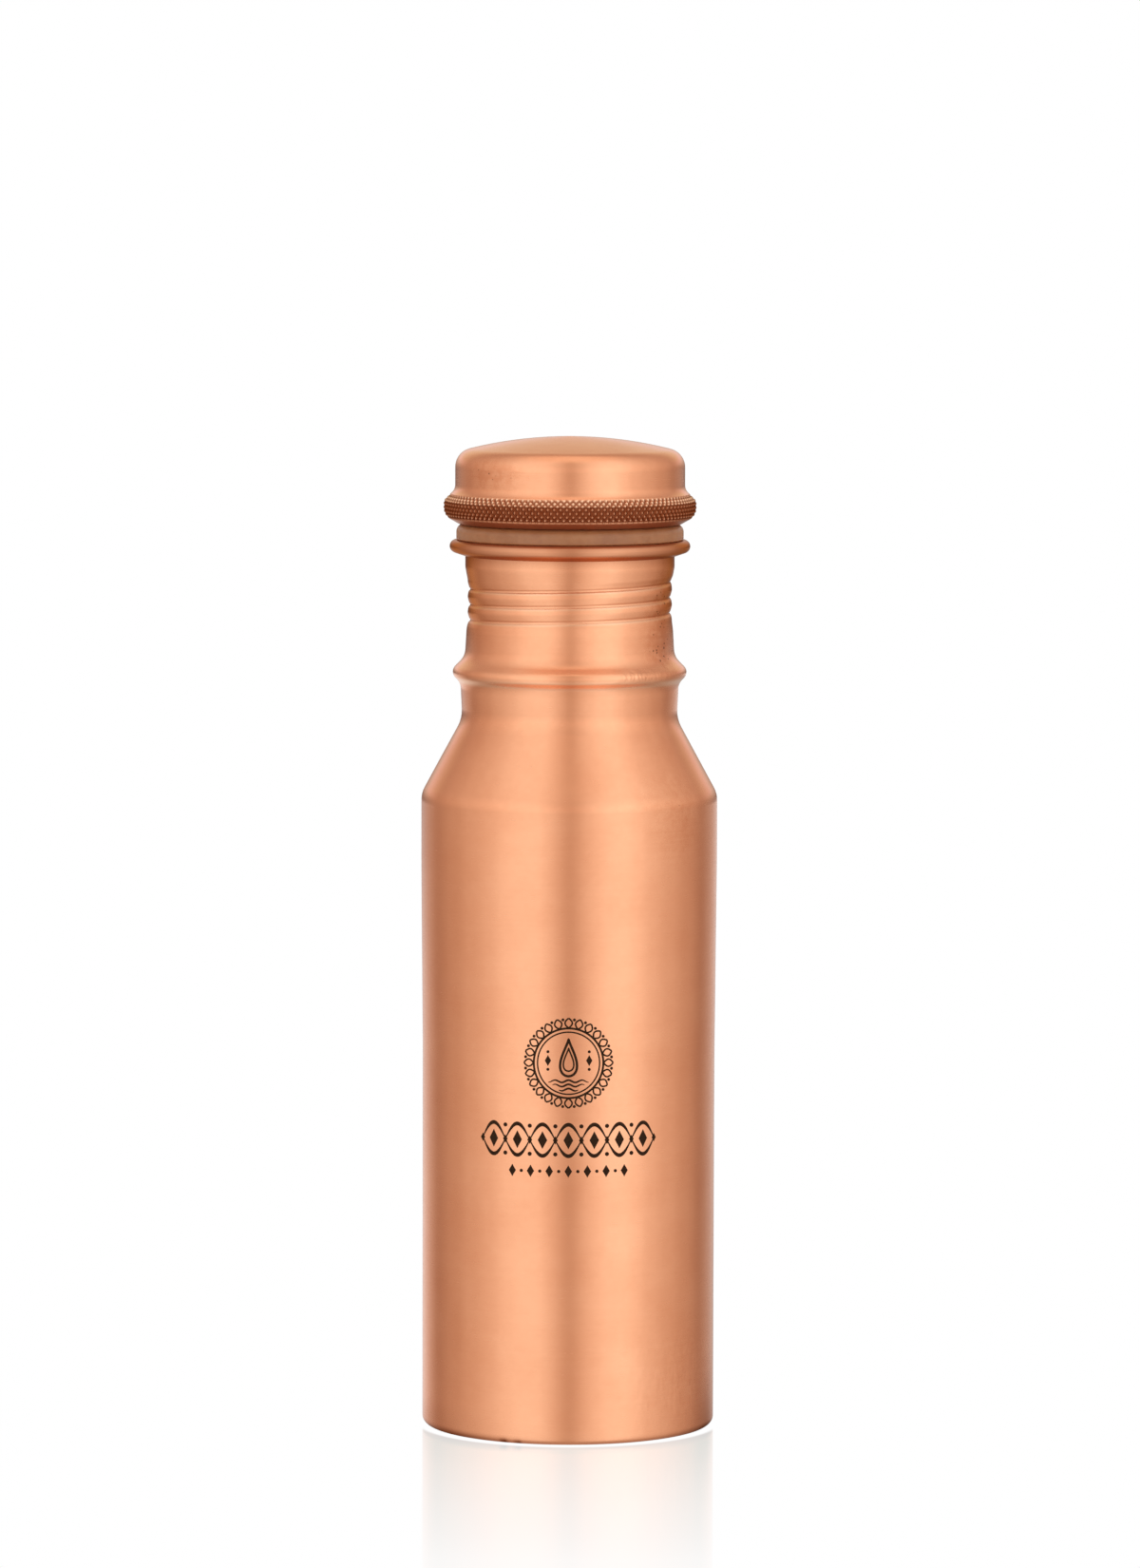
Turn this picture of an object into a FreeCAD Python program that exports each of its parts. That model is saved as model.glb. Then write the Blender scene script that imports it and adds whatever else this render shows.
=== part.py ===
import FreeCAD, Part

import math
import os

# A spun copper water bottle with a screw cap, in millimetres.
# The bottle stands on the plane z = 0 and its axis is +Z. Every piece of sheet is described
# by an outline in the (r, z) half plane: straight runs with a bend radius at each corner.

# Sheet and clearances
SHEET = 0.6                  # copper sheet, about 23 gauge
SEAT_GAP = 0.04              # between faces that only rest on each other
FIT_GAP = 0.1                # between the sealing ring and the plug it is stretched over
BRAZE_GAP = 0.05             # between the base pan's flange and the wall
STEP_SLOPE = 2.0             # run of a pressed step for each millimetre that it rises

# Bottle wall, from the foot upwards
FOOT_INNER_RADIUS = 31.6     # where the hem under the base pan ends
FOOT_BEND = 1.9
WALL_RADIUS_LOW = 35.1       # true cylinder up to the swell
WALL_RADIUS_HIGH = 35.5
SWELL_START = 90.0
SWELL_END = 136.0
SWELL_BEND = 400.0
SHOULDER_Z = 152.4           # wall meets the sloping shoulder
SHOULDER_BEND = 6.0
NECK_ROOT_RADIUS = 25.75     # shoulder meets the neck
NECK_ROOT_Z = 170.4
NECK_ROOT_BEND = 3.0

# Stiffening bead half way up the neck
BEAD_Z = 181.65
BEAD_CREST_RADIUS = 28.0
BEAD_BEND = 1.9
BEAD_FOOT_RADIUS = 26.15     # neck below the bead
BEAD_FOOT_BEND = 1.6
BEAD_TOP_RADIUS = 25.1       # neck above the bead
BEAD_TOP_BEND = 4.5

# Neck above the bead, with the rolled thread
THREAD_RADIUS = 24.45        # lands of the neck's thread
WAIST_RADIUS = 24.75         # neck just below the thread
WAIST_START_Z = 191.6
WAIST_LOW_Z = 194.0
WAIST_HIGH_Z = 203.6
WAIST_END_Z = 206.8
WAIST_BEND = 4.0
NECK_TOP_RADIUS = 25.05

# Rolled lip at the mouth
LIP_TOP_Z = 213.3
LIP_RADIUS = 28.8
LIP_INNER_BEND = 0.9
LIP_NOSE_DEPTH = 1.55        # straight drop of the roll before it turns back to the neck
LIP_TUCK_GAP = 0.2           # between the end of the roll and the neck
LIP_TUCK_DROP = 1.0

# Thread, right-handed, rolled into the neck and into the cap's plug
THREAD_PITCH = 3.7
THREAD_FRONT_Z = 198.75      # where its middle turn crosses the front, -Y
THREAD_TURNS_BELOW = 1.45
THREAD_TURNS_ABOVE = 1.35
THREAD_DEPTH = 0.75
GROOVE_HALF_WIDTH = 0.9      # neck groove at the surface
GROOVE_ROOT_HALF_WIDTH = 0.15
RIDGE_HALF_WIDTH = 1.1       # the matching ridge inside the neck
RIDGE_CREST_HALF_WIDTH = 0.3
RIDGE_BASE_COVER = 0.1       # metal left outside the base of the ridge
CUT_MARGIN = 0.4             # how far a cutter starts outside the surface it cuts

# Base pan, an inverted dish brazed into the foot
PAN_RIM_Z = 6.5
PAN_BEND = 2.0
PAN_PANEL_RADIUS = 25.0      # raised centre panel
PAN_PANEL_RISE = 1.0
PAN_PANEL_BEND = 1.0
SEAM_HEIGHT = 1.7            # how far the solder climbs the wall above the pan
SEAM_WIDTH = 1.2             # how far it runs in from the pan's bend
SEAM_ROOT_DROP = 1.3         # how far it runs down between the pan and the wall
SEAM_GAP = 0.03
SEAM_HOLLOW = 0.3            # how far its face is drawn in towards the corner, as a share

# Cap shell, from the crown downwards
CAP_TOP_Z = 238.0
CROWN_BEND = 99.0
CROWN_CORNER_RADIUS = 12.1
CAP_RADIUS = 27.5
CAP_CORNER_Z = 234.2
CAP_CORNER_BEND = 4.4
FLARE_Z = 225.4
FLARE_BEND = 2.6
GRIP_RADIUS = 30.25          # outside of the knurled band
GRIP_TOP_Z = 222.7
GRIP_TOP_BEND = 1.6
GRIP_BOTTOM_Z = 219.2
GRIP_BOTTOM_BEND = 3.0
HEM_OUTER_RADIUS = 26.7
HEM_INNER_RADIUS = 25.0
HEM_Z = 217.2
HEM_BEND = 0.8

# Plug, a cup whose flange is held in the cap's hem
PLUG_RADIUS = 23.5
PLUG_FLANGE_RADIUS = 26.3
PLUG_SHOULDER_BEND = 0.8
PLUG_BOTTOM_Z = 192.0
PLUG_BOTTOM_BEND = 2.5
PLUG_DISH_RADIUS = 14.0
PLUG_DISH_DEPTH = 0.8
PLUG_DISH_BEND = 1.0
PLUG_GROOVE_DEPTH = 0.8
PLUG_GROOVE_HALF_WIDTH = 1.1
PLUG_GROOVE_ROOT_HALF_WIDTH = 0.65
PLUG_RIDGE_EXTRA = 0.3       # the ridge inside the plug is this much wider than the groove
PLUG_GROOVE_RUN_ON = 0.22    # turns that the plug's groove runs on above the neck's thread
PLUG_GROOVE_RUN_OUT = 0.9    # turns that it runs on below, out of the plug's bottom edge

# Sealing ring
RING_RADIUS = 27.2
RING_TOP_BEND = 1.9
RING_BOTTOM_BEND = 0.5


def left_normal(start, end):
    """The unit vector to the left of a run from start to end."""
    run = math.hypot(end[0] - start[0], end[1] - start[1])
    return (start[1] - end[1]) / run, (end[0] - start[0]) / run


def meeting_point(corner, before, after, distance):
    """Where the two runs at a corner meet once both are moved left by a distance."""
    share = distance / (1 + before[0] * after[0] + before[1] * after[1])
    return corner[0] + share * (before[0] + after[0]), corner[1] + share * (before[1] + after[1])


def moved_left(outline, distance):
    """An outline moved to the left of its own direction, as the other face of a sheet is."""
    normals = [left_normal(a, b) for a, b in zip(outline, outline[1:])]
    first = [outline[0][i] + distance * normals[0][i] for i in (0, 1)]
    last = [outline[-1][i] + distance * normals[-1][i] for i in (0, 1)]
    moved = [(first[0], first[1], 0)]
    for corner, before, after in zip(outline[1:], normals, normals[1:]):
        turn = before[0] * after[1] - before[1] * after[0]
        r, z = meeting_point(corner, before, after, distance)
        moved.append((r, z, corner[2] - distance * math.copysign(1, turn)))
    moved.append((last[0], last[1], 0))
    return moved


def point(place):
    """A place in the (r, z) half plane as a point of the XZ plane."""
    return FreeCAD.Vector(place[0], 0, place[1])


def bend_at(before, corner, after, bend):
    """The two tangent points and the middle of the arc that rounds a corner."""
    back = (before - corner).normalize()
    ahead = (after - corner).normalize()
    half_turn = (math.pi - back.getAngle(ahead)) / 2
    reach = bend * math.tan(half_turn)
    centre = corner + (back + ahead).normalize() * (bend / math.cos(half_turn))
    middle = centre + (corner - centre).normalize() * bend
    return corner + back * reach, middle, corner + ahead * reach


def edges_along(outline):
    """The runs and tangent arcs of an outline."""
    places = [point(corner) for corner in outline]
    edges = []
    here = places[0]
    for i in range(1, len(outline) - 1):
        start, middle, end = bend_at(places[i - 1], places[i], places[i + 1], outline[i][2])
        edges.append(Part.LineSegment(here, start).toShape())
        edges.append(Part.Arc(start, middle, end).toShape())
        here = end
    edges.append(Part.LineSegment(here, places[-1]).toShape())
    return edges


def spin(edges):
    """The solid that a closed section sweeps in one turn about the axis."""
    face = Part.Face(Part.Wire(Part.__sortEdges__(edges)))
    return face.revolve(FreeCAD.Vector(0, 0, 0), FreeCAD.Vector(0, 0, 1), 360)


def spun_sheet(outline, thickness):
    """A piece of sheet spun about the axis, its thickness to the left of the outline."""
    far = moved_left(outline, thickness)
    ends = [Part.LineSegment(point(outline[i]), point(far[i])).toShape() for i in (0, -1)]
    return spin(edges_along(outline) + edges_along(far) + ends)


def helical_bar(section, turns_below, turns_above):
    """A bar of a section (r, height) wound along the thread's own helix."""
    turns = turns_below + turns_above
    helix = Part.makeHelix(THREAD_PITCH, turns * THREAD_PITCH, section[0][0])
    profile = Part.makePolygon([point(corner) for corner in section + section[:1]])
    bar = Part.Solid(Part.Wire(helix.Edges).makePipeShell([profile], True, True))
    bar.rotate(FreeCAD.Vector(0, 0, 0), FreeCAD.Vector(0, 0, 1), -90 - 360 * turns_below)
    bar.translate(FreeCAD.Vector(0, 0, THREAD_FRONT_Z - turns_below * THREAD_PITCH))
    return bar


def tapered_section(wide_r, wide_half, narrow_r, narrow_half):
    """A thread section that narrows evenly from one radius to another."""
    return [(wide_r, -wide_half), (wide_r, wide_half), (narrow_r, narrow_half), (narrow_r, -narrow_half)]


def widened(surface_half, root_half, depth, margin):
    """The half width of a thread section a margin outside the surface it is cut into."""
    return surface_half + (surface_half - root_half) * margin / depth


def bottle_outline():
    """Outside of the bottle wall: foot hem, wall, shoulder, bead, waist and the lip's roll."""
    crest = BEAD_CREST_RADIUS + BEAD_BEND * (math.sqrt(2) - 1)
    roll_radius = LIP_RADIUS - SHEET
    roll_top = LIP_TOP_Z - SHEET
    roll_bottom = roll_top - LIP_NOSE_DEPTH
    tuck_radius = NECK_TOP_RADIUS + LIP_TUCK_GAP
    return [
        (FOOT_INNER_RADIUS, 0, 0),
        (WALL_RADIUS_LOW, 0, FOOT_BEND),
        (WALL_RADIUS_LOW, SWELL_START, SWELL_BEND),
        (WALL_RADIUS_HIGH, SWELL_END, SWELL_BEND),
        (WALL_RADIUS_HIGH, SHOULDER_Z, SHOULDER_BEND),
        (NECK_ROOT_RADIUS, NECK_ROOT_Z, NECK_ROOT_BEND),
        (BEAD_FOOT_RADIUS, BEAD_Z - (crest - BEAD_FOOT_RADIUS), BEAD_FOOT_BEND),
        (crest, BEAD_Z, BEAD_BEND),
        (BEAD_TOP_RADIUS, BEAD_Z + (crest - BEAD_TOP_RADIUS), BEAD_TOP_BEND),
        (WAIST_RADIUS, WAIST_START_Z, WAIST_BEND),
        (THREAD_RADIUS, WAIST_LOW_Z, WAIST_BEND),
        (THREAD_RADIUS, WAIST_HIGH_Z, WAIST_BEND),
        (NECK_TOP_RADIUS, WAIST_END_Z, WAIST_BEND),
        (NECK_TOP_RADIUS, roll_top, LIP_INNER_BEND),
        (roll_radius, roll_top, LIP_INNER_BEND),
        (roll_radius, roll_bottom, LIP_INNER_BEND),
        (tuck_radius, roll_bottom - LIP_TUCK_DROP, 0),
    ]


def bottle_body():
    """The bottle's wall, one piece of spun sheet, with the thread rolled into its neck."""
    wall = spun_sheet(bottle_outline(), SHEET)
    crest_radius = THREAD_RADIUS - SHEET - THREAD_DEPTH
    ridge = tapered_section(
        THREAD_RADIUS - RIDGE_BASE_COVER, RIDGE_HALF_WIDTH, crest_radius, RIDGE_CREST_HALF_WIDTH
    )
    mouth_half = widened(GROOVE_HALF_WIDTH, GROOVE_ROOT_HALF_WIDTH, THREAD_DEPTH, CUT_MARGIN)
    groove = tapered_section(
        THREAD_RADIUS + CUT_MARGIN, mouth_half, THREAD_RADIUS - THREAD_DEPTH, GROOVE_ROOT_HALF_WIDTH
    )
    wall = wall.fuse(helical_bar(ridge, THREAD_TURNS_BELOW, THREAD_TURNS_ABOVE))
    return wall.cut(helical_bar(groove, THREAD_TURNS_BELOW, THREAD_TURNS_ABOVE))


def base_pan():
    """The bottom of the bottle, a shallow dish set in upside down on the foot hem."""
    flange_radius = WALL_RADIUS_LOW - SHEET - BRAZE_GAP
    panel_z = PAN_RIM_Z + PAN_PANEL_RISE
    outline = [
        (flange_radius, FOOT_BEND, 0),
        (flange_radius, PAN_RIM_Z, PAN_BEND),
        (PAN_PANEL_RADIUS, PAN_RIM_Z, PAN_PANEL_BEND),
        (PAN_PANEL_RADIUS - STEP_SLOPE * PAN_PANEL_RISE, panel_z, PAN_PANEL_BEND),
        (0, panel_z, 0),
    ]
    return spun_sheet(outline, SHEET)


def base_solder_seam():
    """The fillet of tin solder that closes the joint between the pan and the wall."""
    bend_r = WALL_RADIUS_LOW - SHEET - BRAZE_GAP - PAN_BEND
    bend_z = PAN_RIM_Z - PAN_BEND
    reach = PAN_BEND + SEAM_GAP
    wall_r = WALL_RADIUS_LOW - SHEET - SEAM_GAP
    root_z = PAN_RIM_Z - SEAM_ROOT_DROP
    root_r = bend_r + math.sqrt(reach ** 2 - (root_z - bend_z) ** 2)
    over_bend = point((bend_r + reach * math.sqrt(0.5), bend_z + reach * math.sqrt(0.5)))
    pan_top = bend_z + reach
    corners = [
        point((root_r, root_z)),
        point((wall_r, root_z)),
        point((wall_r, PAN_RIM_Z + SEAM_HEIGHT)),
        point((bend_r - SEAM_WIDTH, pan_top)),
        point((bend_r, pan_top)),
    ]
    straight = (corners[2] + corners[3]) / 2
    hollow = straight + (point((wall_r, pan_top)) - straight) * SEAM_HOLLOW
    return spin([
        Part.LineSegment(corners[0], corners[1]).toShape(),
        Part.LineSegment(corners[1], corners[2]).toShape(),
        Part.Arc(corners[2], hollow, corners[3]).toShape(),
        Part.LineSegment(corners[3], corners[4]).toShape(),
        Part.Arc(corners[4], over_bend, corners[0]).toShape(),
    ])


def cap_shell():
    """The outside of the cap: crown, side, flare, grip band and the hem rolled in under it."""
    outline = [
        (0, CAP_TOP_Z, 0),
        (CROWN_CORNER_RADIUS, CAP_TOP_Z, CROWN_BEND),
        (CAP_RADIUS, CAP_CORNER_Z, CAP_CORNER_BEND),
        (CAP_RADIUS, FLARE_Z, FLARE_BEND),
        (GRIP_RADIUS, GRIP_TOP_Z, GRIP_TOP_BEND),
        (GRIP_RADIUS, GRIP_BOTTOM_Z, GRIP_BOTTOM_BEND),
        (HEM_OUTER_RADIUS, HEM_Z, HEM_BEND),
        (HEM_INNER_RADIUS, HEM_Z, 0),
    ]
    return spun_sheet(outline, -SHEET)


def plug_outline():
    """Outside of the plug: the flange's underside, the wall and the dished bottom."""
    flange_z = HEM_Z + SHEET + SEAT_GAP
    dish_z = PLUG_BOTTOM_Z + PLUG_DISH_DEPTH
    return [
        (PLUG_FLANGE_RADIUS, flange_z, 0),
        (PLUG_RADIUS, flange_z, PLUG_SHOULDER_BEND),
        (PLUG_RADIUS, PLUG_BOTTOM_Z, PLUG_BOTTOM_BEND),
        (PLUG_DISH_RADIUS, PLUG_BOTTOM_Z, PLUG_DISH_BEND),
        (PLUG_DISH_RADIUS - STEP_SLOPE * PLUG_DISH_DEPTH, dish_z, PLUG_DISH_BEND),
        (0, dish_z, 0),
    ]


def plug_filled():
    """The plug as if it were solid, up to its flange's underside."""
    outline = plug_outline()
    top = point((0, outline[0][1]))
    edges = edges_along(outline)
    edges.append(Part.LineSegment(point(outline[-1]), top).toShape())
    edges.append(Part.LineSegment(top, point(outline[0])).toShape())
    return spin(edges)


def cap_plug():
    """The cup inside the cap, with the groove that runs on the ridge in the neck."""
    below = THREAD_TURNS_BELOW + PLUG_GROOVE_RUN_OUT
    above = THREAD_TURNS_ABOVE + PLUG_GROOVE_RUN_ON
    mouth_half = widened(
        PLUG_GROOVE_HALF_WIDTH, PLUG_GROOVE_ROOT_HALF_WIDTH, PLUG_GROOVE_DEPTH, CUT_MARGIN
    )
    groove = tapered_section(
        PLUG_RADIUS + CUT_MARGIN, mouth_half,
        PLUG_RADIUS - PLUG_GROOVE_DEPTH, PLUG_GROOVE_ROOT_HALF_WIDTH,
    )
    ridge = tapered_section(
        PLUG_RADIUS - SHEET / 2, PLUG_GROOVE_HALF_WIDTH + PLUG_RIDGE_EXTRA,
        PLUG_RADIUS - SHEET - PLUG_GROOVE_DEPTH, PLUG_GROOVE_ROOT_HALF_WIDTH + PLUG_RIDGE_EXTRA,
    )
    cup = spun_sheet(plug_outline(), -SHEET)
    cup = cup.fuse(helical_bar(ridge, below, above).common(plug_filled()))
    return cup.cut(helical_bar(groove, below, above))


def cap_gasket():
    """The silicone sealing ring between the cap's hem and the bottle's lip."""
    inner = PLUG_RADIUS + FIT_GAP
    bottom = LIP_TOP_Z + SEAT_GAP
    top = HEM_Z - SEAT_GAP
    outline = [
        (inner, bottom, 0),
        (RING_RADIUS, bottom, RING_BOTTOM_BEND),
        (RING_RADIUS, top, RING_TOP_BEND),
        (inner, top, 0),
    ]
    inside = Part.LineSegment(point(outline[-1]), point(outline[0])).toShape()
    return spin(edges_along(outline) + [inside])


PIECES = (bottle_body, base_pan, base_solder_seam, cap_shell, cap_plug, cap_gasket)

os.makedirs("parts", exist_ok=True)
for make_piece in PIECES:
    piece = make_piece()
    piece.exportStep(f"parts/{make_piece.__name__}.step")
    print(make_piece.__name__, len(piece.Solids), piece.isValid(), round(piece.Volume, 1))
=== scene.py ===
import math

import bpy
import numpy as np
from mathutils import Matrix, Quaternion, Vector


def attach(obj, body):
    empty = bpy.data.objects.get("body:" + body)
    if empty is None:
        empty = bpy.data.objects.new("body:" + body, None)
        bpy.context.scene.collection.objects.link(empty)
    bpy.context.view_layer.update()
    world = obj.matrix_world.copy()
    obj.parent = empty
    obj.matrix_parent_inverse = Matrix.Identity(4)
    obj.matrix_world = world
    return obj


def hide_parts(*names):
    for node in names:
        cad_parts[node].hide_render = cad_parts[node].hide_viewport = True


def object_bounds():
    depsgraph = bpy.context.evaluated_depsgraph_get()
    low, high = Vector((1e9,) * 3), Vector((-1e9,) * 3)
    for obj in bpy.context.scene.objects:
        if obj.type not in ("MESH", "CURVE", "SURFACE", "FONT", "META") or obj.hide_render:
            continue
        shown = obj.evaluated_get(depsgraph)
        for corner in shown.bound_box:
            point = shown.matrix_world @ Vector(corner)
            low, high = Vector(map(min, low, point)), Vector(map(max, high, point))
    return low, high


# The look of a spun copper water bottle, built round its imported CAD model.
# Outlines are (r, z, bend) corners in millimetres about the bottle's axis, as in the CAD source.
# Blender's own units are metres.

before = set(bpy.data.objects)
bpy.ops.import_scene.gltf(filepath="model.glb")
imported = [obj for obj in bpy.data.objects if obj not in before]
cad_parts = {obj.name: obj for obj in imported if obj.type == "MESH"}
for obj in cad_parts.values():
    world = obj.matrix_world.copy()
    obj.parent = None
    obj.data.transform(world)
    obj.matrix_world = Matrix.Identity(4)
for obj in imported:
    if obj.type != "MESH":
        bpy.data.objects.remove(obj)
cad_low, cad_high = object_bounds()

MM = 0.001
SHEET = 0.6                     # thickness of the copper
FRONT = -math.pi / 2            # the side that faces the camera, -Y
WAVER = 0.012                   # unevenness of the spun walls
INK = 0.025                     # how far the print stands proud of the wall
SUPPORT = 0.25                  # rows this close to each bend keep the flats' shading flat
ARC_STEP = math.radians(9)      # the most that a bend turns between rows
MARKS = ("soil_and_shade", "worn", "creased", "bright")   # wear, patina, painted shade and painted highlights that the meshes carry for their materials

# Bottle
THREAD_PITCH = 3.7
THREAD_FRONT_Z = 198.75
THREAD_TURNS = (1.45, 1.35)     # below and above its middle turn
THREAD_FADE = 0.16              # turns over which the groove runs out
THREAD_DEPTH = 0.64             # how deep the groove is rolled
THREAD_ZONE = (191.0, 206.5)    # heights that it takes up on the neck
BOTTLE_OUTLINE = [
    (31.6, 0, 0),
    (35.1, 0, 1.9),
    (35.1, 90, 400),
    (35.5, 136, 400),
    (35.5, 152.4, 6),
    (25.75, 170.4, 8),
    (26.15, 179.013, 3.4),
    (28.787, 181.65, 1.9),
    (25.1, 185.337, 4.5),
    (24.75, 191.6, 4),
    (24.45, 194.0, 4),
    (24.45, 203.6, 4),
    (25.05, 206.8, 4),
    (25.05, 212.7, 0.9),
    (28.2, 212.7, 0.9),
    (28.2, 211.15, 0.9),
    (25.25, 210.15, 0),
]

# Patches on the wall: strength, height, reach, degrees to the right of the front, spread
SOILED_AND_SHADED = [
    # The foot's two sides: painted shade.
    (1.1, 0, 1.5, -64, 32),
    (1.1, 0, 1.5, 74, 24),
    (0.5, 0, 0.8, 170, 50),
    (0.9, 0.5, 0.7, -26, 1.6),
    (0.8, 0.5, 0.6, -20, 1.4),
    (0.3, 3, 9, 72, 9),
    # The neck's two sides under the lip: painted shade.
    (0.5, 205, 8, -88, 16),
    (0.5, 205, 8, 88, 16),
]
WORN = [
    (1.0, 197, 7, 64, 13),
    (1.0, 187, 5, 60, 12),
    (0.2, 12, 14, 60, 18),
    (0.4, 150, 9, 48, 14),
    (0.5, 40, 22, 170, 40),
    (0.5, 120, 25, -120, 25),
]
CREASED = [
    (1.0, 182.2, 1.2, 38, 17),
    (0.35, 13, 11, 46, 20),
    (0.25, 60, 30, 200, 40),
]

# Base pan and its solder
PAN_OUTLINE = [
    (34.45, 1.9, 0),
    (34.45, 6.5, 2),
    (25, 6.5, 1),
    (23, 7.5, 1),
    (0, 7.5, 0),
]
SEAM_OUTLINE = [
    (34.47, 6.6, 0),
    (34.47, 8.2, 0.08),
    (33.83, 6.87, 2.5),
    (31.25, 6.53, 0.02),
    (33.866, 6.53, 2.03),
    (34.355, 5.2, 0.02),
    (34.47, 5.2, 0.02),
    (34.47, 6.6, 0),
]

# Cap
CAP_OUTLINE = [
    (0, 238, 0),
    (12.1, 238, 99),
    (27.5, 234.2, 4.4),
    (27.5, 225.4, 2.6),
    (30.25, 222.7, 1.6),
    (30.25, 219.2, 3),
    (26.7, 217.2, 0.8),
    (25.0, 217.2, 0),
]
KNURL_ZONE = (218.6, 224.4)
KNURL_COUNT = 125               # diamonds round the band
KNURL_RISE = 1.9                # height of one diamond
KNURL_DEPTH = 0.5
KNURL_FLAT = 0.86               # share of the height at which the diamonds' points are cut off
CAP_WORN = [
    (1.0, 229.5, 3, -42, 14),
    (0.5, 231, 3, 130, 30),
]

# Plug inside the cap, with its thread groove
PLUG_OUTLINE = [
    (26.3, 217.84, 0),
    (23.5, 217.84, 0.8),
    (23.5, 192, 2.5),
    (14, 192, 1),
    (12.4, 192.8, 1),
    (0, 192.8, 0),
]
PLUG_TURNS = (2.35, 1.57)
PLUG_DEPTH = 0.8
PLUG_ZONE = (191.9, 207.5)

# Sealing ring
RING_OUTLINE = [
    (23.6, 215.2, 0),
    (23.6, 213.34, 0.15),
    (27.2, 213.34, 0.5),
    (27.2, 217.16, 1.9),
    (23.6, 217.16, 0.15),
    (23.6, 215.2, 0),
]

# Heights of the middles of the printed ornament's three parts
MEDALLION_Z = 91.5
FRIEZE_Z = 73.1
ROW_Z = 65.7


# ---------------------------------------------------------------- outlines

def left_normal(start, end):
    """The unit vector to the left of a run from start to end."""
    run = math.hypot(end[0] - start[0], end[1] - start[1])
    return (start[1] - end[1]) / run, (end[0] - start[0]) / run


def moved_left(outline, distance):
    """An outline moved to the left of its own direction, as the other face of a sheet is."""
    normals = [left_normal(a, b) for a, b in zip(outline, outline[1:])]
    ends = [
        (corner[0] + distance * normal[0], corner[1] + distance * normal[1], 0)
        for corner, normal in ((outline[0], normals[0]), (outline[-1], normals[-1]))
    ]
    moved = []
    for corner, before, after in zip(outline[1:], normals, normals[1:]):
        turn = before[0] * after[1] - before[1] * after[0]
        share = distance / (1 + before[0] * after[0] + before[1] * after[1])
        moved.append((
            corner[0] + share * (before[0] + after[0]),
            corner[1] + share * (before[1] + after[1]),
            corner[2] - distance * math.copysign(1, turn),
        ))
    return [ends[0]] + moved + [ends[1]]


def bend_rows(before, corner, after, bend, longest):
    """Points round the tangent arc at a corner, its two ends included."""
    back = (before - corner) / np.linalg.norm(before - corner)
    ahead = (after - corner) / np.linalg.norm(after - corner)
    half_turn = (math.pi - math.acos(np.clip(back @ ahead, -1, 1))) / 2
    toward = (back + ahead) / np.linalg.norm(back + ahead)
    centre = corner + toward * bend / math.cos(half_turn)
    across = back - ahead
    across = across / np.linalg.norm(across)
    steps = max(2, math.ceil(2 * half_turn / ARC_STEP), math.ceil(2 * half_turn * bend / longest))
    turns = np.linspace(-half_turn, half_turn, steps + 1)
    return [centre - bend * (toward * math.cos(a) + across * math.sin(a)) for a in turns]


def straight_rows(start, end, longest):
    """Points inside a straight run, with one close to each end."""
    length = np.linalg.norm(end - start)
    if length < 3 * SUPPORT:
        return []
    shares = np.linspace(SUPPORT / length, 1 - SUPPORT / length, max(2, math.ceil(length / longest)))
    return [start + (end - start) * share for share in shares]


def rows_along(outline, spacing):
    """Points (r, z) along the runs and arcs of an outline, no further apart than spacing(z)."""
    places = [np.array(corner[:2], float) for corner in outline]
    rows = [places[0]]
    for i in range(1, len(outline)):
        last = i == len(outline) - 1
        here = places[i]
        if last:
            bend = [here]
        else:
            bend = bend_rows(places[i - 1], here, places[i + 1], outline[i][2], spacing(here[1]))
        middle = (rows[-1][1] + bend[0][1]) / 2
        longest = min(spacing(rows[-1][1]), spacing(middle), spacing(bend[0][1]))
        rows += straight_rows(rows[-1], bend[0], longest) + bend
    return np.array(rows)


def fine_in(zone, fine, coarse):
    """A spacing that is fine in a band of heights and coarse outside it."""
    return lambda z: fine if zone[0] < z < zone[1] else coarse


# ---------------------------------------------------------------- meshes

def add_object(name, vertices, faces, body, material):
    """A smooth mesh object that rides on a CAD body. A vertex is x, y, z in millimetres and marks."""
    vertices = np.asarray(vertices, float)
    mesh = bpy.data.meshes.new(name)
    mesh.from_pydata(vertices[:, :3] * MM, [], faces)
    mesh.shade_smooth()
    for mark, values in zip(MARKS, vertices[:, 3:].T):
        mesh.attributes.new(mark, "FLOAT", "POINT").data.foreach_set("value", values.astype("f"))
    mesh.materials.append(material)
    piece = bpy.data.objects.new(name, mesh)
    bpy.context.scene.collection.objects.link(piece)
    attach(piece, body)
    return piece


def spun_grid(rows, segments):
    """Radius, height and angle of every point when rows are spun about the axis."""
    turn = FRONT + np.arange(segments) * 2 * math.pi / segments
    shape = (len(rows), segments)
    return (
        np.broadcast_to(rows[:, :1], shape).copy(),
        np.broadcast_to(rows[:, 1:], shape).copy(),
        np.broadcast_to(turn, shape),
    )


def rings_from(radius, height, turn, *marks, thin=None, keep=1):
    """The rows of a grid as rings of points. Rows marked thin keep every keep-th point."""
    places = np.stack([radius * np.cos(turn), radius * np.sin(turn), height, *marks], axis=2)
    rings = []
    for i, row in enumerate(places):
        if radius[i].max() < 1e-6:
            rings.append(row[:1])
        else:
            rings.append(row[::keep] if thin is not None and thin[i] else row)
    return rings


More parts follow.
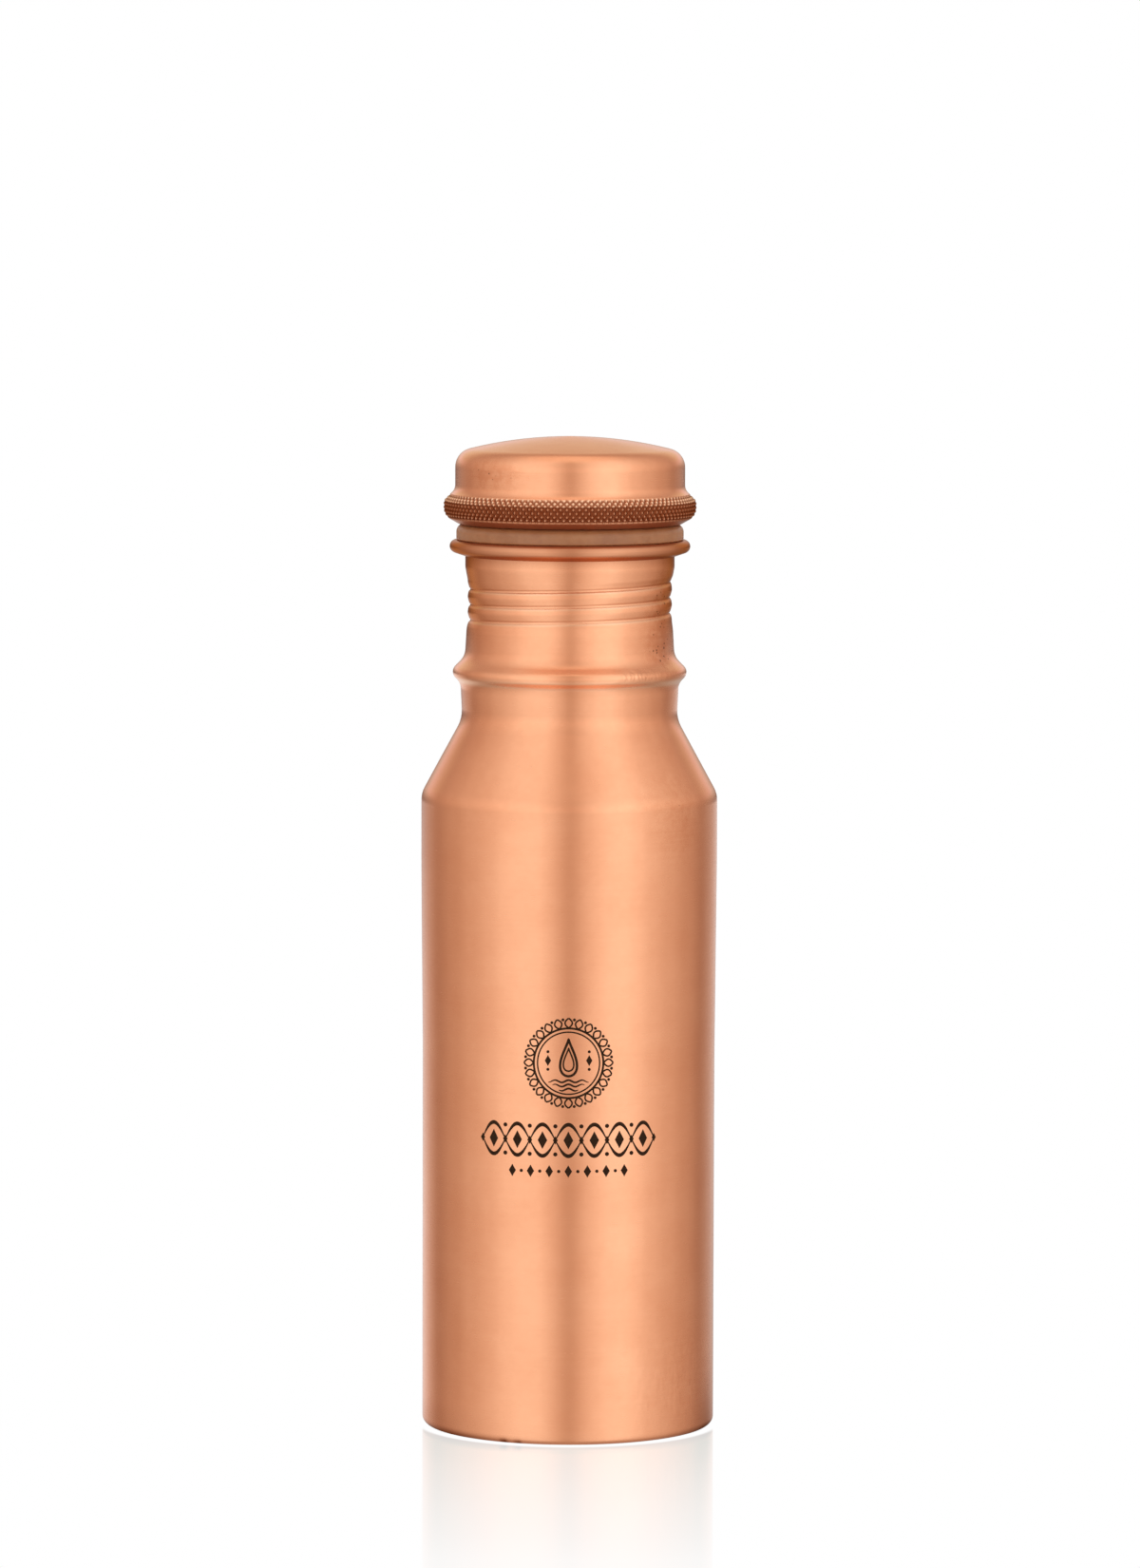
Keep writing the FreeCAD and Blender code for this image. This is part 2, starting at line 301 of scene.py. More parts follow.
def joined_rings(rings):
    """Vertices and outward faces of a closed skin through rings, the last joined to the first."""
    starts = np.cumsum([0] + [len(ring) for ring in rings])
    faces = []
    for i, low in enumerate(rings):
        k = (i + 1) % len(rings)
        high = rings[k]
        if len(low) == len(high) == 1:
            continue
        cells = min(n for n in (len(low), len(high)) if n > 1)
        a_step, b_step = max(1, len(low) // cells), max(1, len(high) // cells)
        for j in range(cells):
            a = [starts[i] + (j * a_step + n) % len(low) for n in range(a_step + 1)]
            b = [starts[k] + (j * b_step + n) % len(high) for n in range(b_step + 1)]
            faces.append([int(n) for n in dict.fromkeys(a + b[::-1])])
    vertices = np.vstack(rings)
    places = vertices[:, :3]
    corners = np.array([(f[0], b, c) for f in faces for b, c in zip(f[1:], f[2:])])
    a, b, c = (places[corners[:, i]] for i in range(3))
    volume = np.sum(a * np.cross(b, c))
    return vertices, faces if volume > 0 else [face[::-1] for face in faces]


def both_faces(near, far):
    """The rows of a sheet's two faces as one closed section."""
    return np.vstack([near, far[::-1]])


def smooth_step(share):
    """A share held to 0 to 1 and eased at both ends."""
    share = np.clip(share, 0, 1)
    return share * share * (3 - 2 * share)


def thread_share(height, turn, turns, width):
    """Depth of the rolled thread as a share of its full depth, and the share of its lower edge."""
    around = np.mod(turn - FRONT, 2 * math.pi) / (2 * math.pi)
    phase = (height - THREAD_FRONT_Z) / THREAD_PITCH - around
    nearest = np.round(phase)
    along = nearest + around
    fade = smooth_step(np.minimum(along + turns[0], turns[1] - along) / THREAD_FADE)
    off = phase - nearest
    above = 0.6 * (1 - smooth_step(off / 0.5)) + 0.4 * np.clip(1 - off / (0.6 * width), 0, 1)
    below = 0.4 * (1 - smooth_step(-off / 0.5)) + 0.6 * (1 - smooth_step(-off / width))
    edge = np.exp(-((off + 0.7 * width) / (0.45 * width)) ** 2)
    return fade * np.where(off > 0, above, below), fade * edge


def waver(height, turn, size):
    """A faint unevenness left by spinning and handling, in millimetres."""
    return size * (
        np.sin(3 * turn + height / 19) * np.sin(height / 11 + 0.7)
        + 0.6 * np.sin(7 * turn - height / 7 + 2.1)
        + 0.4 * np.sin(height / 3.1 + 2 * turn)
    )


def patches(height, turn, spots):
    """The strength of soft-edged patches, each a row of a table such as SOILED_AND_SHADED."""
    round_by = np.degrees(np.mod(turn - FRONT + math.pi, 2 * math.pi) - math.pi)
    return sum(
        strength * np.exp(-((height - level) / reach) ** 2 - ((round_by - degrees) / spread) ** 2)
        for strength, level, reach, degrees, spread in spots
    )


def make_bottle(material):
    """The wall: foot hem, side, shoulder, bead, threaded neck and rolled lip, inside and out."""
    outer = rows_along(BOTTLE_OUTLINE, fine_in(THREAD_ZONE, 0.20, 6))
    inner = rows_along(moved_left(BOTTLE_OUTLINE, SHEET), fine_in(THREAD_ZONE, 0.36, 9))
    rows = both_faces(outer, inner)
    radius, height, turn = spun_grid(rows, 240)
    outside = np.arange(len(rows))[:, None] < len(outer)
    groove, edge = thread_share(height, turn, THREAD_TURNS, 0.20)
    ridge, _ = thread_share(height, turn, THREAD_TURNS, 0.30)
    neck = (height > THREAD_ZONE[0]) & (height < THREAD_ZONE[1]) & (radius < 26)
    radius -= THREAD_DEPTH * np.where(neck, np.where(outside, groove, ridge), 0)
    side = smooth_step((height - 4) / 20) * smooth_step((178 - height) / 10)
    radius += waver(height, turn, WAVER) * side
    soil_and_shade = np.where(outside, np.zeros(radius.shape), 0.35)
    # Painted shade: a dark ring on the lip's top under the sealing ring, and a dark band on the neck just
    # under the lip.
    soil_and_shade += outside * smooth_step((height - 212.6) / 0.5) * smooth_step((27.6 - radius) / 0.5)
    soil_and_shade += 0.6 * outside * smooth_step((height - 209.6) / 1.2) * smooth_step((26.0 - radius) / 0.5)
    soil_and_shade += outside * patches(height, turn, SOILED_AND_SHADED)
    worn = outside * patches(height, turn, WORN)
    creased = outside * patches(height, turn, CREASED)
    # Painted highlights: pale lines along the thread's lower edges, at the bead's foot and along the lip's
    # upper edge.
    bright = np.where(neck & outside, 0.45 * edge, 0)
    bright += 0.55 * outside * np.exp(-((height - 180.2) / 0.7) ** 2) * (radius < 28.0)
    bright += 0.35 * outside * np.exp(-((height - 179.5) / 0.35) ** 2)
    bright += outside * np.exp(-((height - 212.2) / 0.45) ** 2) * (radius > 27.2)
    marks = np.clip(soil_and_shade, 0, 1), np.clip(worn, 0, 1), creased, np.clip(bright, 0, 1)
    rings = rings_from(radius, height, turn, *marks)
    vertices, faces = joined_rings(rings)
    return add_object("bottle_wall", vertices, faces, "bottle", material)


def make_pan(material):
    """The base, a dish set in upside down."""
    rows = [rows_along(o, lambda z: 2.5) for o in (PAN_OUTLINE, moved_left(PAN_OUTLINE, SHEET))]
    radius, height, turn = spun_grid(both_faces(*rows), 160)
    panel = smooth_step((31 - radius) / 6)
    height += panel * waver(radius * 3, turn, 0.03)
    vertices, faces = joined_rings(rings_from(radius, height, turn))
    return add_object("base_dish", vertices, faces, "bottle", material)


def make_seam(material):
    """The hand-run fillet of solder, a little uneven along its face."""
    radius, height, turn = spun_grid(rows_along(SEAM_OUTLINE, lambda z: 0.4)[:-1], 240)
    free = smooth_step((34.4 - radius) / 1.2) * smooth_step((height - 6.4) / 0.5)
    lumps = 0.5 * np.sin(9 * turn) + 0.3 * np.sin(23 * turn + 1.3) + 0.2 * np.sin(41 * turn)
    height += 0.14 * lumps * free
    vertices, faces = joined_rings(rings_from(radius, height, turn))
    return add_object("solder_seam", vertices, faces, "bottle", material)


def knurl_height(turn, along):
    """Height of diamond knurling as a share, by angle and distance along the outline."""
    across = (turn - FRONT) * KNURL_COUNT / (2 * math.pi)
    up = along / KNURL_RISE
    slopes = [1 - np.abs(2 * np.mod(across + side * up, 1) - 1) for side in (1, -1)]
    return np.minimum(np.minimum(*slopes), KNURL_FLAT) / KNURL_FLAT


def make_cap(material):
    """The cap's shell, with its diamond-knurled grip band and rolled hem."""
    outer = rows_along(CAP_OUTLINE, fine_in(KNURL_ZONE, 0.13, 2.5))
    inner = rows_along(moved_left(CAP_OUTLINE, -SHEET), lambda z: 4)
    rows = both_faces(outer, inner)
    radius, height, turn = spun_grid(rows, 8 * KNURL_COUNT)
    run = np.gradient(outer, axis=0)
    run /= np.linalg.norm(run, axis=1)[:, None]
    along = np.concatenate([[0], np.cumsum(np.linalg.norm(np.diff(outer, axis=0), axis=1))])
    top = np.interp(-KNURL_ZONE[1], -outer[:, 1], along)
    bottom = np.interp(-KNURL_ZONE[0], -outer[:, 1], along)
    band = smooth_step(np.minimum(along - top, bottom - along) / 0.35)[:, None]
    n = len(outer)
    raised = knurl_height(turn[:n], along[:, None])
    radius[:n] += KNURL_DEPTH * band * (1 - raised) * run[:, 1:]
    height[:n] -= KNURL_DEPTH * band * (1 - raised) * run[:, :1]
    radius[:n] += waver(height[:n], turn[:n], WAVER) * (radius[:n] > 20)
    thin = np.ones(len(rows), bool)
    thin[:n] = (along < top - 0.1) | (along > bottom + 0.1)
    last = smooth_step((along - bottom + 1.5) / 0.6)[:, None]
    soil_and_shade = np.full(radius.shape, 0.5)
    peak = band * smooth_step((raised - 0.60) / 0.35)
    crest = band * smooth_step((raised - 0.42) / 0.40)
    first = smooth_step((2.7 + top - along) / 1.0)[:, None]
    # Patina in the knurl's grooves, laid darker over the whole band as painted shade; the points are left
    # clean, and the top rows lighter as painted light.
    soil_and_shade[:n] = (1.1 - 0.35 * first) * band - (0.72 + 0.2 * last) * (1 - first) * peak - first * crest
    # Painted shade on the band's underside and the hem below it.
    soil_and_shade[:n] = np.maximum(soil_and_shade[:n], 0.6 * smooth_step((along[:, None] - bottom + 0.5) / 0.3))
    bright = np.zeros(radius.shape)
    # Painted highlights on the crests of the top rows and the points of the bottom rows.
    bright[:n] = 0.85 * first * crest + 0.25 * last * peak
    worn = patches(height, turn, CAP_WORN)
    creased = np.zeros(radius.shape)
    marks = np.clip(soil_and_shade, 0, 1), worn, creased, bright
    rings = rings_from(radius, height, turn, *marks, thin=thin, keep=8)
    vertices, faces = joined_rings(rings)
    return add_object("cap_cover", vertices, faces, "cap", material)


def make_plug(material):
    """The cup inside the cap, its thread groove rolled in from outside."""
    outer = rows_along(PLUG_OUTLINE, fine_in(PLUG_ZONE, 0.23, 3))
    inner = rows_along(moved_left(PLUG_OUTLINE, -SHEET), fine_in(PLUG_ZONE, 0.36, 3))
    rows = both_faces(outer, inner)
    radius, height, turn = spun_grid(rows, 240)
    outside = np.arange(len(rows))[:, None] < len(outer)
    groove, _ = thread_share(height, turn, PLUG_TURNS, 0.30)
    ridge, _ = thread_share(height, turn, PLUG_TURNS, 0.36)
    wall = smooth_step((radius - 20) / 2.5)
    radius -= PLUG_DEPTH * wall * np.where(outside, groove, ridge)
    vertices, faces = joined_rings(rings_from(radius, height, turn))
    return add_object("cap_cup", vertices, faces, "cap", material)


def make_ring(material):
    """The silicone ring that seals the cap on the lip."""
    radius, height, turn = spun_grid(rows_along(RING_OUTLINE, lambda z: 0.5)[:-1], 240)
    vertices, faces = joined_rings(rings_from(radius, height, turn))
    return add_object("sealing_ring", vertices, faces, "seal", material)


# ---------------------------------------------------------------- printed ornament

class Print:
    """Thin printed shapes laid on the wall, drawn in millimetres across from the front and up."""

    def __init__(self, wall_rows):
        self.wall = wall_rows
        self.vertices = []
        self.faces = []

    def on_wall(self, across, up, proud):
        """The place on the wall that is so far across and up, and so far proud of it."""
        base = np.interp(up, self.wall[:, 1], self.wall[:, 0])
        turn = FRONT + across / base
        radius = base + waver(up, turn, WAVER) + proud
        return radius * math.cos(turn), radius * math.sin(turn), up

    def ribbon(self, path, widths, closed=False):
        """A flat line along a path, as wide as widths says at each point."""
        path = np.array(path, float)
        widths = np.broadcast_to(np.asarray(widths, float), (len(path),))
        if closed:
            run = np.roll(path, -1, axis=0) - np.roll(path, 1, axis=0)
        else:
            run = np.gradient(path, axis=0)
        side = np.stack([-run[:, 1], run[:, 0]], axis=1) / np.linalg.norm(run, axis=1)[:, None]
        first = len(self.vertices)
        for place, across, width in zip(path, side, widths):
            for share, proud in ((-1, INK), (0, INK), (1, INK), (1, -INK), (-1, -INK)):
                spot = place + across * share * width / 2
                self.vertices.append(self.on_wall(spot[0], spot[1], proud))
        count = len(path)
        for i in range(count if closed else count - 1):
            here, there = first + 5 * i, first + 5 * ((i + 1) % count)
            for a in range(5):
                b = (a + 1) % 5
                self.faces.append([here + a, here + b, there + b, there + a])
        if not closed:
            last = first + 5 * (count - 1)
            self.faces.append([first + a for a in (4, 3, 2, 1, 0)])
            self.faces.append([last + a for a in range(5)])

    def circle(self, centre, radius, width, points):
        """A round line."""
        turns = np.arange(points) * 2 * math.pi / points
        path = [(centre[0] + radius * math.cos(a), centre[1] + radius * math.sin(a)) for a in turns]
        self.ribbon(path, width, closed=True)

    def dot(self, centre, radius):
        """A filled round spot."""
        shares = np.linspace(-1, 1, 11)
        path = [(centre[0], centre[1] + radius * share) for share in shares]
        self.ribbon(path, 2 * radius * np.sqrt(np.maximum(1 - shares ** 2, 0.01)))

    def lozenge(self, centre, half_across, half_up):
        """A filled diamond."""
        shares = np.linspace(-1, 1, 9)
        path = [(centre[0], centre[1] + half_up * share) for share in shares]
        self.ribbon(path, 2 * half_across * np.maximum(1 - np.abs(shares), 0.03))


def draw_medallion(ink, middle):
    """A drop over ripples in a ring of petals."""
    ink.circle((0, middle), 8.3, 0.50, 96)
    ink.circle((0, middle), 7.4, 0.36, 96)
    shares = np.linspace(0, 1, 15)
    for i in range(24):
        a = 2 * math.pi * i / 24
        out, side = (math.cos(a), math.sin(a)), (-math.sin(a), math.cos(a))
        for hand in (1, -1):
            path = []
            for share in shares:
                reach = 8.4 + 2.3 * share
                off = hand * 0.86 * math.sin(math.pi * share) ** 0.9
                path.append((reach * out[0] + off * side[0], middle + reach * out[1] + off * side[1]))
            ink.ribbon(path, 0.40)
        b = a + math.pi / 24
        ink.dot((10.4 * math.cos(b), middle + 10.4 * math.sin(b)), 0.36)
    for size, weight in ((1.0, 0.60), (0.62, 0.40)):
        drop = []
        for i in range(64):
            a = 2 * math.pi * i / 64
            width = 2.9 * math.sin(a) * math.sin(a / 2) ** 1.6
            drop.append((size * width, middle + 1.3 + size * 4.4 * math.cos(a) - (1 - size) * 1.2))
        ink.ribbon(drop, weight, closed=True)
    for level, half in ((-4.3, 4.8), (-5.3, 3.8), (-6.3, 2.3)):
        shares = np.linspace(-1, 1, 36)
        path = [(half * s, middle + level + 0.28 * math.cos(3 * math.pi * s * half / 4.8)) for s in shares]
        ink.ribbon(path, 0.42 * np.sqrt(np.maximum(1 - shares ** 2, 0.08)) + 0.06)
    for side in (1, -1):
        ink.lozenge((side * 4.9, middle + 0.6), 0.75, 1.3)
        ink.dot((side * 4.9, middle + 2.7), 0.36)
        ink.dot((side * 4.9, middle - 1.5), 0.36)


def draw_frieze(ink, middle):
    """A chain of pointed ovals with a diamond in each."""
    half, high, count = 21.6, 3.75, 7
    shares = np.linspace(0, 1, 41)
    step = 2 * half / count
    for i in range(count):
        left = -half + i * step
        for side in (1, -1):
            path = [(left + step * s, middle + side * high * math.sin(math.pi * s)) for s in shares]
            ink.ribbon(path, 0.30 + 0.62 * np.sin(math.pi * shares) ** 2)
        ink.lozenge((left + step / 2, middle), 1.15, 2.1)
    for i in range(count + 1):
        ink.lozenge((-half + i * step, middle), 0.6, 1.0)
    for i in range(1, count):
        for side in (1, -1):
            ink.dot((-half + i * step, middle + side * 3.35), 0.50)


def draw_row(ink, middle):
    """A short row of small diamonds and dots."""
    for i in range(7):
        spot = -13.6 + 27.2 * i / 6
        ink.lozenge((spot, middle), 0.90, 1.45)
        if i < 6:
            ink.dot((spot + 13.6 / 6, middle), 0.40)


def make_ornament(material):
    """The print on the front of the wall: a medallion over a frieze and a row."""
    wall = rows_along(BOTTLE_OUTLINE, lambda z: 6)
    upright = (wall[:, 1] > 5) & (wall[:, 1] < 150) & (wall[:, 0] > 34)
    ink = Print(wall[upright])
    draw_medallion(ink, MEDALLION_Z)
    draw_frieze(ink, FRIEZE_Z)
    draw_row(ink, ROW_Z)
    return add_object("printed_ornament", ink.vertices, ink.faces, "bottle", material)


# ---------------------------------------------------------------- materials

class Graph:
    """A short way to write a node tree."""

    def __init__(self, tree):
        self.tree = tree
        tree.nodes.clear()

    def add(self, kind, inputs, **settings):
        """A node of a kind, with its inputs set to values or linked to sockets."""
        node = self.tree.nodes.new(kind)
        for key, value in settings.items():
            setattr(node, key, value)
        for key, value in inputs.items():
            if isinstance(value, bpy.types.NodeSocket):
                self.tree.links.new(value, node.inputs[key])
            else:
                node.inputs[key].default_value = value
        return node

    def math(self, operation, *values, clamp=False):
        """The result of one calculation."""
        inputs = dict(enumerate(values))
        return self.add("ShaderNodeMath", inputs, operation=operation, use_clamp=clamp).outputs[0]

    def spread(self, value, low, high, to_low=0.0, to_high=1.0, smooth=False):
        """A value taken from one range to another and held at its ends."""
        return self.add(
            "ShaderNodeMapRange",
            {"Value": value, "From Min": low, "From Max": high, "To Min": to_low, "To Max": to_high},
            interpolation_type="SMOOTHSTEP" if smooth else "LINEAR",
        ).outputs[0]

    def mix(self, share, first, second):
        """A blend of two colours."""
        node = self.add("ShaderNodeMix", {}, data_type="RGBA")
        for socket, value in zip((node.inputs[0], node.inputs[6], node.inputs[7]), (share, first, second)):
            if isinstance(value, bpy.types.NodeSocket):
                self.tree.links.new(value, socket)
            else:
                socket.default_value = value
        return node.outputs[2]

    def ramp(self, value, span, stops):
        """Colours at places along a span, blended from each to the next."""
        node = self.add("ShaderNodeValToRGB", {"Fac": self.spread(value, *span)})
        elements = node.color_ramp.elements
        for i, (place, colour) in enumerate(stops):
            where = (place - span[0]) / (span[1] - span[0])
            stop = elements[i] if i < 2 else elements.new(where)
            stop.position = where
            stop.color = [*colour, 1]
        node.color_ramp.interpolation = "EASE"
        return node.outputs[0]

    def noise(self, place, scale, detail, rough=0.5):
        """Cloudy noise from 0 to 1."""
        node = self.add(
            "ShaderNodeTexNoise",
            {"Vector": place, "Scale": scale, "Detail": detail, "Roughness": rough},
        )
        return node.outputs[0]


def millimetres(graph):
    """A place on the piece, in millimetres."""
    place = graph.add("ShaderNodeTexCoord", {}).outputs["Object"]
    node = graph.add("ShaderNodeVectorMath", {0: place}, operation="SCALE")
    node.inputs["Scale"].default_value = 1000
    return node.outputs[0]


def spun_place(graph, place, across, along):
    """Coordinates that change slowly round the axis and fast along the outline."""
    parts = graph.add("ShaderNodeSeparateXYZ", {0: place}).outputs
    squares = [graph.math("POWER", part, 2.0) for part in (parts[0], parts[1])]
    radius = graph.math("SQRT", graph.math("ADD", *squares))
    level = graph.math("MULTIPLY_ADD", radius, 1.7, parts[2])
    return graph.add(
        "ShaderNodeCombineXYZ",
        {
            0: graph.math("MULTIPLY", parts[0], across),
            1: graph.math("MULTIPLY", parts[1], across),
            2: graph.math("MULTIPLY", level, along),
        },
    ).outputs[0]


def new_material(name):
    """A material, its node tree and its Principled shader, joined to the output."""
    material = bpy.data.materials.new(name)
    material.use_nodes = True
    graph = Graph(material.node_tree)
    shader = graph.add("ShaderNodeBsdfPrincipled", {})
    graph.add("ShaderNodeOutputMaterial", {"Surface": shader.outputs[0]})
    return material, graph, shader


def mark(graph, name):
    """Wear, patina, painted shade and painted highlights that the mesh carries, 0 where it carries none."""
    return graph.add("ShaderNodeAttribute", {}, attribute_name=name).outputs["Fac"]


SPECK = (0.24, 0.070, 0.028, 1)
STAIN_AND_SHADE = (0.195, 0.032, 0.007, 1)
# pale copper for the painted highlights
PAINTED_HIGHLIGHT = (1.0, 0.64, 0.41, 1)
EDGE_TINT = (0.55, 0.38, 0.29, 1)       # colour at glancing angles under stains and painted shade, and on the neck


def copper(name, clean, dull, roughness):
    """Spun copper: fine marks round the axis, cloudy tone, dark patina in recesses, specks, and painted
    shade and painted highlights where the meshes carry them.
    """
    material, graph, shader = new_material(name)
    place = millimetres(graph)
    soil_and_shade, worn, creased, bright = (mark(graph, m) for m in MARKS)
    clouds = graph.noise(place, 0.07, 5.0, 0.6)
    fine_clouds = graph.noise(place, 0.6, 4.0, 0.65)
    rings = graph.noise(spun_place(graph, place, 0.05, 1.1), 1.0, 4.0, 0.6)
    marks = graph.noise(spun_place(graph, place, 0.12, 6.0), 1.0, 2.0, 0.5)
    tone = graph.math("MULTIPLY_ADD", rings, 0.15, graph.math("MULTIPLY_ADD", clouds, 0.8, 0.05))
    tone = graph.math("MULTIPLY_ADD", fine_clouds, 0.20, tone)
    tone = graph.math("MULTIPLY_ADD", worn, graph.spread(fine_clouds, 0.42, 0.62, 0.0, 0.65), tone)
    tone = graph.math("MULTIPLY_ADD", worn, graph.spread(rings, 0.45, 0.62, 0.0, 0.35), tone)
    colour = graph.mix(graph.spread(tone, 0.50, 1.05), clean, dull)
    cells = graph.add(
        "ShaderNodeTexVoronoi", {"Vector": place, "Scale": 1.15, "Randomness": 1.0}, feature="F1"
    ).outputs
    size = graph.add("ShaderNodeSeparateXYZ", {0: cells["Color"]}).outputs[0]
    often = graph.math("MULTIPLY_ADD", worn, -0.45, 0.95)
    reach = graph.math("MULTIPLY", graph.math("SUBTRACT", size, often, clamp=True), 0.95)
    speck = graph.spread(graph.math("SUBTRACT", reach, cells["Distance"]), 0.0, 0.06, 0.0, 0.8)
    colour = graph.mix(speck, colour, SPECK)
    # Dark where the meshes carry patina and stains, and painted shade under the lip, under the grip band
    # and at the foot's and neck's sides.
    stain_and_shade = graph.math("MULTIPLY", soil_and_shade, graph.spread(fine_clouds, 0.2, 0.7, 1.0, 0.92))
    colour = graph.mix(stain_and_shade, colour, STAIN_AND_SHADE)
    # Paler where the meshes carry painted highlights.
    colour = graph.mix(bright, colour, PAINTED_HIGHLIGHT)
    graph.tree.links.new(colour, shader.inputs["Base Color"])
    level = graph.add("ShaderNodeSeparateXYZ", {0: place}).outputs[2]
    # The edge tint follows the stains and painted shade, and is laid on the whole neck from 187 to 215 mm,
    # which darkens its glancing reflections.
    neck_band = graph.math("MULTIPLY", graph.spread(level, 187, 197), graph.spread(level, 215, 212.5))
    edge_tinted = graph.math("MAXIMUM", stain_and_shade, neck_band)
    edge = graph.mix(edge_tinted, (1, 1, 1, 1), EDGE_TINT)
    graph.tree.links.new(edge, shader.inputs["Specular Tint"])
    rough = graph.spread(marks, 0.3, 0.7, roughness - 0.02, roughness + 0.02)
    rough = graph.math("MULTIPLY_ADD", graph.math("SUBTRACT", fine_clouds, 0.5), 0.06, rough)
    rough = graph.math("MULTIPLY_ADD", worn, 0.06, rough)
    rough = graph.math("MULTIPLY_ADD", soil_and_shade, 0.14, rough)
    rough = graph.math("MULTIPLY_ADD", speck, 0.2, rough)
    graph.tree.links.new(rough, shader.inputs["Roughness"])
    wrinkles = graph.noise(spun_place(graph, place, 1.5, 1.2), 1.0, 2.0, 0.5)
    dents = graph.noise(spun_place(graph, place, 0.6, 0.35), 1.0, 1.0, 0.5)
    relief = graph.math("MULTIPLY_ADD", marks, 0.15, graph.math("MULTIPLY", rings, 0.35))
    relief = graph.math("MULTIPLY_ADD", fine_clouds, 0.25, relief)
    relief = graph.math("MULTIPLY_ADD", graph.math("MULTIPLY", worn, fine_clouds), 1.5, relief)
    sharp = graph.math("MULTIPLY", graph.math("POWER", creased, 2.0), wrinkles)
    relief = graph.math("MULTIPLY_ADD", sharp, 35.0, relief)
    relief = graph.math("MULTIPLY_ADD", graph.math("MULTIPLY", creased, dents), 60.0, relief)
    relief = graph.math("MULTIPLY_ADD", speck, -4.0, relief)
    bump = graph.add("ShaderNodeBump", {"Height": relief, "Strength": 1.0, "Distance": 0.004 * MM})
    graph.tree.links.new(bump.outputs[0], shader.inputs["Normal"])
    tangent = graph.add("ShaderNodeTangent", {}, direction_type="RADIAL", axis="Z")
    graph.tree.links.new(tangent.outputs[0], shader.inputs["Tangent"])
    shader.inputs["Metallic"].default_value = 1.0
    shader.inputs["Anisotropic"].default_value = 0.7
    shader.inputs["Anisotropic Rotation"].default_value = 0.25
    return material


def solder(name):
    """Dull tin solder with a lightly frosted skin."""
    material, graph, shader = new_material(name)
    place = millimetres(graph)
    grain = graph.noise(place, 1.6, 4.0, 0.6)
    clouds = graph.noise(place, 0.25, 3.0)
    colour = graph.mix(graph.spread(clouds, 0.35, 0.65), (0.62, 0.60, 0.57, 1), (0.42, 0.37, 0.32, 1))
    graph.tree.links.new(colour, shader.inputs["Base Color"])
    graph.tree.links.new(graph.spread(grain, 0.3, 0.7, 0.28, 0.48), shader.inputs["Roughness"])
    bump = graph.add("ShaderNodeBump", {"Height": grain, "Strength": 1.0, "Distance": 0.03 * MM})
    graph.tree.links.new(bump.outputs[0], shader.inputs["Normal"])
    shader.inputs["Metallic"].default_value = 1.0
    return material


def silicone(name):
    """Milky silicone with a soft gloss and a little dust, its colour darkened and tinted copper as painted
    shade and a painted reflection of the copper round it.
    """
    material, graph, shader = new_material(name)
    place = millimetres(graph)
    clouds = graph.noise(place, 0.3, 4.0, 0.6)
    dust = graph.noise(place, 3.0, 3.0, 0.7)
    # Dark copper-brown: painted shade and a painted reflection of the copper round the ring.
    colour = graph.mix(graph.spread(clouds, 0.35, 0.65), (0.430, 0.166, 0.064, 1), (0.365, 0.132, 0.049, 1))
    graph.tree.links.new(colour, shader.inputs["Base Color"])
    graph.tree.links.new(graph.spread(dust, 0.35, 0.65, 0.30, 0.46), shader.inputs["Roughness"])
    bump = graph.add("ShaderNodeBump", {"Height": dust, "Strength": 1.0, "Distance": 0.008 * MM})
    graph.tree.links.new(bump.outputs[0], shader.inputs["Normal"])
    shader.inputs["Subsurface Weight"].default_value = 0.35
    shader.inputs["Subsurface Radius"].default_value = (1.0, 0.7, 0.5)
    shader.inputs["Subsurface Scale"].default_value = 1.5 * MM
    shader.inputs["IOR"].default_value = 1.43
    return material


def brown_ink(name):
    """Dark brown print, slightly uneven in tone and gloss."""
    material, graph, shader = new_material(name)
    place = millimetres(graph)
    grain = graph.noise(place, 2.2, 4.0, 0.65)
    colour = graph.mix(graph.spread(grain, 0.3, 0.7), (0.018, 0.006, 0.002, 1), (0.044, 0.018, 0.006, 1))
    graph.tree.links.new(colour, shader.inputs["Base Color"])
    graph.tree.links.new(graph.spread(grain, 0.3, 0.7, 0.42, 0.62), shader.inputs["Roughness"])
    bump = graph.add("ShaderNodeBump", {"Height": grain, "Strength": 1.0, "Distance": 0.006 * MM})
    graph.tree.links.new(bump.outputs[0], shader.inputs["Normal"])
    shader.inputs["Specular IOR Level"].default_value = 0.06
    return material


# ---------------------------------------------------------------- studio

# Light level round the horizon, by degrees to the right of the camera: two tall soft boxes
# either side of it and dimmer sides.
STUDIO = [
    (-180, 0.45), (-126, 0.45), (-101, 0.60), (-82, 0.76), (-64, 0.92), (-52, 1.10),
    (-38, 1.18), (-24, 1.19), (-17, 1.06), (-12, 0.94), (-8, 0.83), (-3, 0.69), (1, 0.625),
    (6, 0.74), (13, 0.94), (21, 1.10), (32, 1.24), (44, 1.29), (56, 1.15), (67, 0.95),
    (86, 0.77), (105, 0.61), (129, 0.42), (180, 0.42),
]
